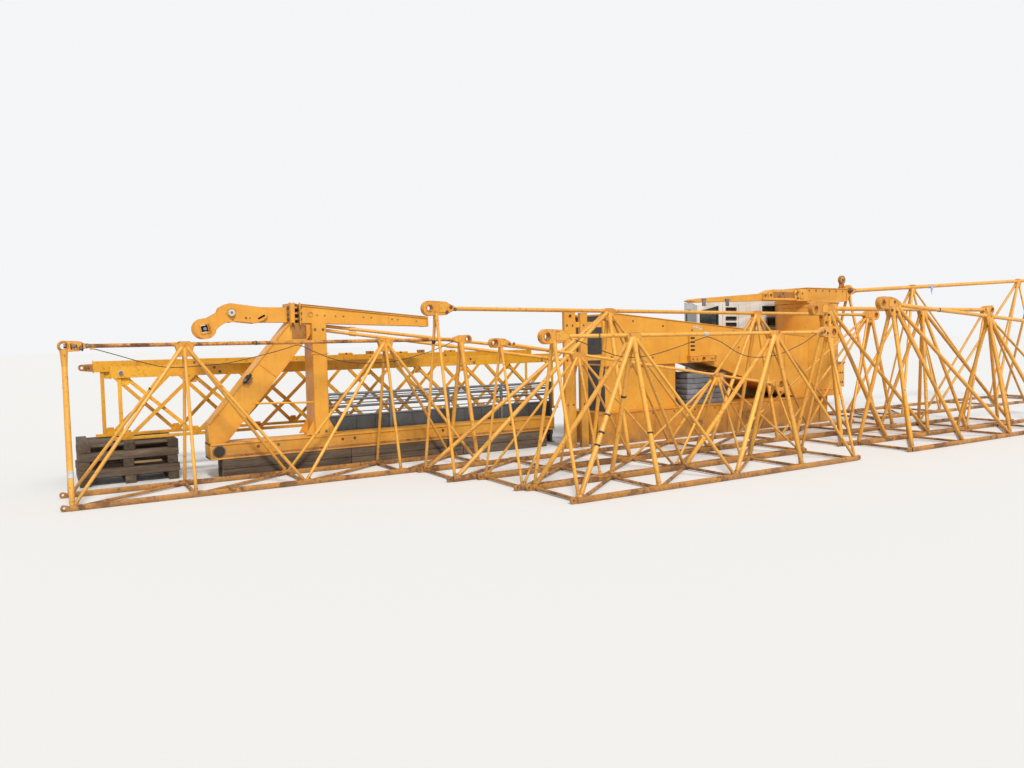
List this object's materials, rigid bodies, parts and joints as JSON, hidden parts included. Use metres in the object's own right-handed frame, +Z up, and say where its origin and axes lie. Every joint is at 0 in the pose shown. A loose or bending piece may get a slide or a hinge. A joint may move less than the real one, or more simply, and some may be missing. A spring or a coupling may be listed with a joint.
{
  "type": "dismantled tower crane laid down in sections",
  "caption": "Dismantled saddle-jib tower crane stored on the ground: triangular lattice jib sections, head frame, counter-jib frame, plate girder, slewing column and cab.",
  "frame": {"origin": "middle of the plan, on the ground", "axes": "+X along the sections to the right, +Y across the rows away from the front one, +Z up"},
  "size_m": [22.1501, 5.72, 3.1439],
  "materials": {
    "yellow_paint": "weathered yellow gloss paint",
    "rusty_paint": "yellow paint with rust and mud",
    "galvanised": "dull galvanised steel",
    "cab_white": "white paint, dirty",
    "cab_glazing": "dusty window glass",
    "greasy_cable": "greasy rusty steel cable",
    "old_timber": "old dark weathered timber",
    "weathered_concrete": "grey cast concrete, stained"
  },
  "bodies": {
    "root": {"jib_a_top_chord": "yellow_paint", "jib_a_near_side": "yellow_paint", "jib_a_far_side": "yellow_paint", "jib_a_bottom_frame": "rusty_paint", "jib_a_cable": "greasy_cable", "jib_d_cable": "greasy_cable", "jib_b_top_chord": "yellow_paint", "jib_b_near_side": "yellow_paint", "jib_b_far_side": "yellow_paint", "jib_b_bottom_frame": "rusty_paint", "jib_c_top_chord": "yellow_paint", "jib_c_near_side": "yellow_paint", "jib_c_far_side": "yellow_paint", "jib_c_bottom_frame": "rusty_paint", "jib_d_top_chord": "yellow_paint", "jib_d_near_side": "yellow_paint", "jib_d_far_side": "yellow_paint", "jib_d_bottom_frame": "rusty_paint", "jib_f_top_chord": "yellow_paint", "jib_f_near_side": "yellow_paint", "jib_f_far_side": "yellow_paint", "jib_f_bottom_frame": "rusty_paint", "jib_h_top_chord": "yellow_paint", "jib_h_near_side": "yellow_paint", "jib_h_far_side": "yellow_paint", "jib_h_bottom_frame": "rusty_paint", "mast_top_chord": "yellow_paint", "mast_near_side": "yellow_paint", "mast_far_side": "yellow_paint", "mast_bottom_frame": "rusty_paint", "head_base_beam": "yellow_paint", "head_column": "yellow_paint", "head_strut": "yellow_paint", "head_arm": "yellow_paint", "head_horns": "yellow_paint", "tie_bars": "yellow_paint", "counter_jib_girders": "yellow_paint", "counter_jib_bracing": "yellow_paint", "timber_bearers": "old_timber", "guard_rails": "galvanised", "plate_girder": "yellow_paint", "girder_end_posts": "yellow_paint", "bed_box": "yellow_paint", "ballast_slabs": "weathered_concrete", "slewing_column": "yellow_paint", "column_head_box": "yellow_paint", "cab_beam": "yellow_paint", "cab_base": "galvanised", "cab_shell": "cab_white", "cab_glass": "cab_glazing"}
  },
  "joints": []
}
